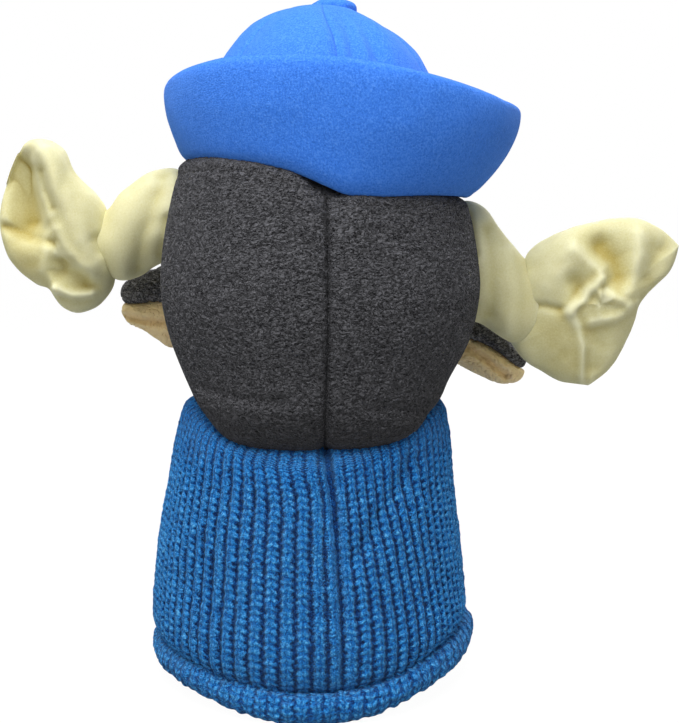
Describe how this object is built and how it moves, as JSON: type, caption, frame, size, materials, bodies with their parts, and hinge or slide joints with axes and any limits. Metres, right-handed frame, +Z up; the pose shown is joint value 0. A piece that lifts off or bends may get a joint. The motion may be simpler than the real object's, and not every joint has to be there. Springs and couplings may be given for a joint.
{
  "type": "driver head cover",
  "caption": "Plush animal-head cover for a golf driver, with a rib-knit sock, stuffed antlers and ears and a turned-up brimmed hat.",
  "frame": {"origin": "centre of the sock's mouth, on the surface that the cover stands on", "axes": "+Z up from the sock's mouth to the hat, -Y the way that the face looks, +X to the animal's left"},
  "size_m": [0.3066, 0.1758, 0.2998],
  "materials": {
    "knit_blue": "chunky rib knit",
    "plush_grey": "short curly pile",
    "fleece_blue": "brushed fleece",
    "velboa_cream": "smooth short pile",
    "velboa_tan": "smooth short pile",
    "filling_white": "polyester fibre filling",
    "lining_black": "smooth woven lining",
    "elastic_white": "woven elastic",
    "eye_black": "polished",
    "washer_white": "as moulded",
    "thread_black": "satin stitch"
  },
  "bodies": {
    "sock": {"sock_tube": "knit_blue", "sock_hem": "knit_blue"},
    "head": {"neck_elastic": "elastic_white", "pocket_lining": "lining_black", "head_filling": "filling_white", "head_back_left": "plush_grey", "head_back_right": "plush_grey", "head_face": "plush_grey", "hat_brim": "fleece_blue", "hat_button": "fleece_blue", "muzzle_cover": "velboa_tan", "muzzle_filling": "filling_white", "mouth_stitching": "thread_black", "hat_crown_panel_1": "fleece_blue", "hat_crown_panel_2": "fleece_blue", "hat_crown_panel_3": "fleece_blue", "hat_crown_panel_4": "fleece_blue", "hat_crown_panel_5": "fleece_blue", "hat_crown_panel_6": "fleece_blue", "eye_left": "eye_black", "eye_washer_left": "washer_white", "nostril_left": "thread_black", "eye_right": "eye_black", "eye_washer_right": "washer_white", "nostril_right": "thread_black"},
    "antler_left": {"antler_left_back": "velboa_cream", "antler_left_front": "velboa_cream", "antler_left_filling": "filling_white"},
    "antler_right": {"antler_right_back": "velboa_cream", "antler_right_front": "velboa_cream", "antler_right_filling": "filling_white"},
    "ear_left": {"ear_left_back": "plush_grey", "ear_left_lining": "velboa_tan"},
    "ear_right": {"ear_right_back": "plush_grey", "ear_right_lining": "velboa_tan"}
  },
  "joints": [
    {"name": "neck_nod", "type": "hinge", "parent": "sock", "child": "head", "pos_m": [0, 0, 0.04], "axis": [1, 0, 0], "range_deg": [-8, 8], "stiffness_Nm_per_rad": 3},
    {"name": "antler_left_swing", "type": "hinge", "parent": "head", "child": "antler_left", "pos_m": [0.08157, -0.006, 0.204], "axis": [0, 1, 0], "range_deg": [-14, 12], "stiffness_Nm_per_rad": 0.4},
    {"name": "antler_right_swing", "type": "hinge", "parent": "head", "child": "antler_right", "pos_m": [-0.08436, -0.006, 0.187], "axis": [0, 1, 0], "range_deg": [-12, 14], "stiffness_Nm_per_rad": 0.4},
    {"name": "ear_left_flap", "type": "hinge", "parent": "head", "child": "ear_left", "pos_m": [0.06643, -0.034, 0.166], "axis": [0, 1, 0], "range_deg": [-15, 15], "stiffness_Nm_per_rad": 0.06},
    {"name": "ear_right_flap", "type": "hinge", "parent": "head", "child": "ear_right", "pos_m": [-0.06364, -0.034, 0.152], "axis": [0, 1, 0], "range_deg": [-15, 15], "stiffness_Nm_per_rad": 0.06}
  ]
}
